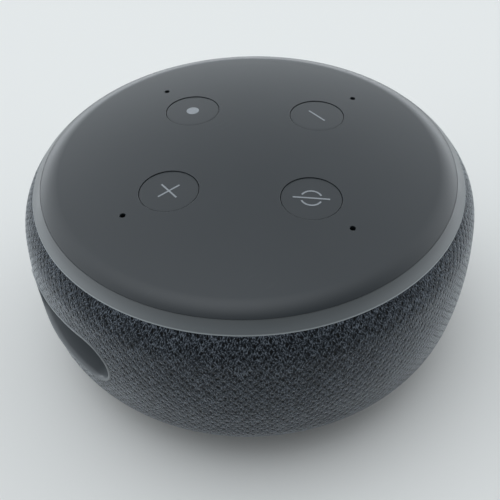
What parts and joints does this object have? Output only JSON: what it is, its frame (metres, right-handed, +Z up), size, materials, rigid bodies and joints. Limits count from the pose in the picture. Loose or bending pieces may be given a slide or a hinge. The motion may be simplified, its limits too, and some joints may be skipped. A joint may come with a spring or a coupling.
{
  "type": "smart speaker",
  "caption": "Low round puck speaker with a fabric side, a light ring, four press buttons on a crowned plastic top, a rear socket recess and a down-firing driver inside.",
  "frame": {"origin": "centre of the foot pad's underside, on the surface the speaker stands on", "axes": "+Z up through the top cover, +Y towards the rear sockets, +X towards the action button"},
  "size_m": [0.099, 0.099, 0.043],
  "materials": {
    "cover_plastic": "fine satin moulded plastic, dark slate grey",
    "ring_plastic": "frosted translucent ring, unlit, smoke grey",
    "button_plastic": "satin plastic caps with pale printed icons",
    "plunger_plastic": "ivory moulded plastic",
    "knit_fabric": "tight knit in charcoal with paler slate yarn",
    "housing_plastic": "black moulded plastic, fine grain",
    "bezel_plastic": "smooth dark grey plastic",
    "socket_plastic": "black socket and connector plastic",
    "plated_contact": "nickel plated spring metal",
    "circuit_board": "dark green solder mask",
    "chip_black": "black moulded chip packages",
    "led_lens": "clear lens over pale phosphor",
    "tinned_can": "tinned sheet steel",
    "spreader_metal": "cast and blasted aluminium",
    "screw_steel": "black zinc plated steel",
    "gasket_rubber": "soft closed foam and rubber",
    "foot_rubber": "matt non-slip rubber",
    "label_film": "plain printed film, left blank",
    "ribbon_film": "amber polyimide film",
    "wire_jacket": "soft wire jackets",
    "motor_steel": "zinc plated steel",
    "magnet_nickel": "nickel plated magnet",
    "coil_copper": "enamelled copper wire",
    "cone_paper": "black moulded cone",
    "spider_cloth": "resin-dipped cotton"
  },
  "bodies": {
    "case": {"aux_jack": "socket_plastic", "aux_jack_contacts": "plated_contact", "base_cover": "housing_plastic", "base_label": "label_film", "base_screws": "screw_steel", "board_chips": "chip_black", "cover_screws": "screw_steel", "dc_jack": "socket_plastic", "dc_jack_pin": "plated_contact", "driver_frame": "housing_plastic", "driver_gasket": "gasket_rubber", "driver_screws": "screw_steel", "driver_terminals": "plated_contact", "enclosure_gasket": "gasket_rubber", "enclosure_screws": "screw_steel", "fabric_sleeve": "knit_fabric", "foot_pad": "foot_rubber", "heat_spreader": "spreader_metal", "led_driver_chips": "chip_black", "light_ring": "ring_plastic", "magnet": "magnet_nickel", "magnet_yoke": "motor_steel", "main_board": "circuit_board", "main_screws": "screw_steel", "mic_board": "circuit_board", "mic_gaskets": "gasket_rubber", "microphones": "tinned_can", "pole_plate": "motor_steel", "port_bezel": "bezel_plastic", "power_inductors": "chip_black", "ribbon_cable": "ribbon_film", "ribbon_connector_main": "socket_plastic", "ribbon_connector_top": "socket_plastic", "ring_leds": "led_lens", "shield_cans": "tinned_can", "side_housing": "housing_plastic", "sound_diffuser": "housing_plastic", "speaker_baffle": "housing_plastic", "speaker_connector": "socket_plastic", "speaker_enclosure": "housing_plastic", "speaker_wires": "wire_jacket", "spider": "spider_cloth", "surround": "gasket_rubber", "switch_bases": "socket_plastic", "thermal_pads": "gasket_rubber", "top_cover": "cover_plastic", "top_frame": "housing_plastic", "wifi_antennas": "plated_contact"},
    "action_body": {"action_button": "button_plastic", "action_plunger": "plunger_plastic"},
    "volume_up_body": {"volume_up_button": "button_plastic", "volume_up_plunger": "plunger_plastic"},
    "mic_mute_body": {"mic_mute_button": "button_plastic", "mic_mute_plunger": "plunger_plastic"},
    "volume_down_body": {"volume_down_button": "button_plastic", "volume_down_plunger": "plunger_plastic"},
    "cone_body": {"voice_coil": "coil_copper", "speaker_cone": "cone_paper", "dust_cap": "cone_paper"}
  },
  "joints": [
    {"name": "action_press", "type": "slide", "parent": "case", "child": "action_body", "axis": [0, 0, -1], "range_m": [0, 0.0003], "stiffness_N_per_m": 4000},
    {"name": "volume_up_press", "type": "slide", "parent": "case", "child": "volume_up_body", "axis": [0, 0, -1], "range_m": [0, 0.0003], "stiffness_N_per_m": 4000},
    {"name": "mic_mute_press", "type": "slide", "parent": "case", "child": "mic_mute_body", "axis": [0, 0, -1], "range_m": [0, 0.0003], "stiffness_N_per_m": 4000},
    {"name": "volume_down_press", "type": "slide", "parent": "case", "child": "volume_down_body", "axis": [0, 0, -1], "range_m": [0, 0.0003], "stiffness_N_per_m": 4000},
    {"name": "cone_travel", "type": "slide", "parent": "case", "child": "cone_body", "axis": [0, 0, 1], "range_m": [-0.0015, 0.0015], "stiffness_N_per_m": 1500, "deforming": ["surround", "spider"]}
  ]
}
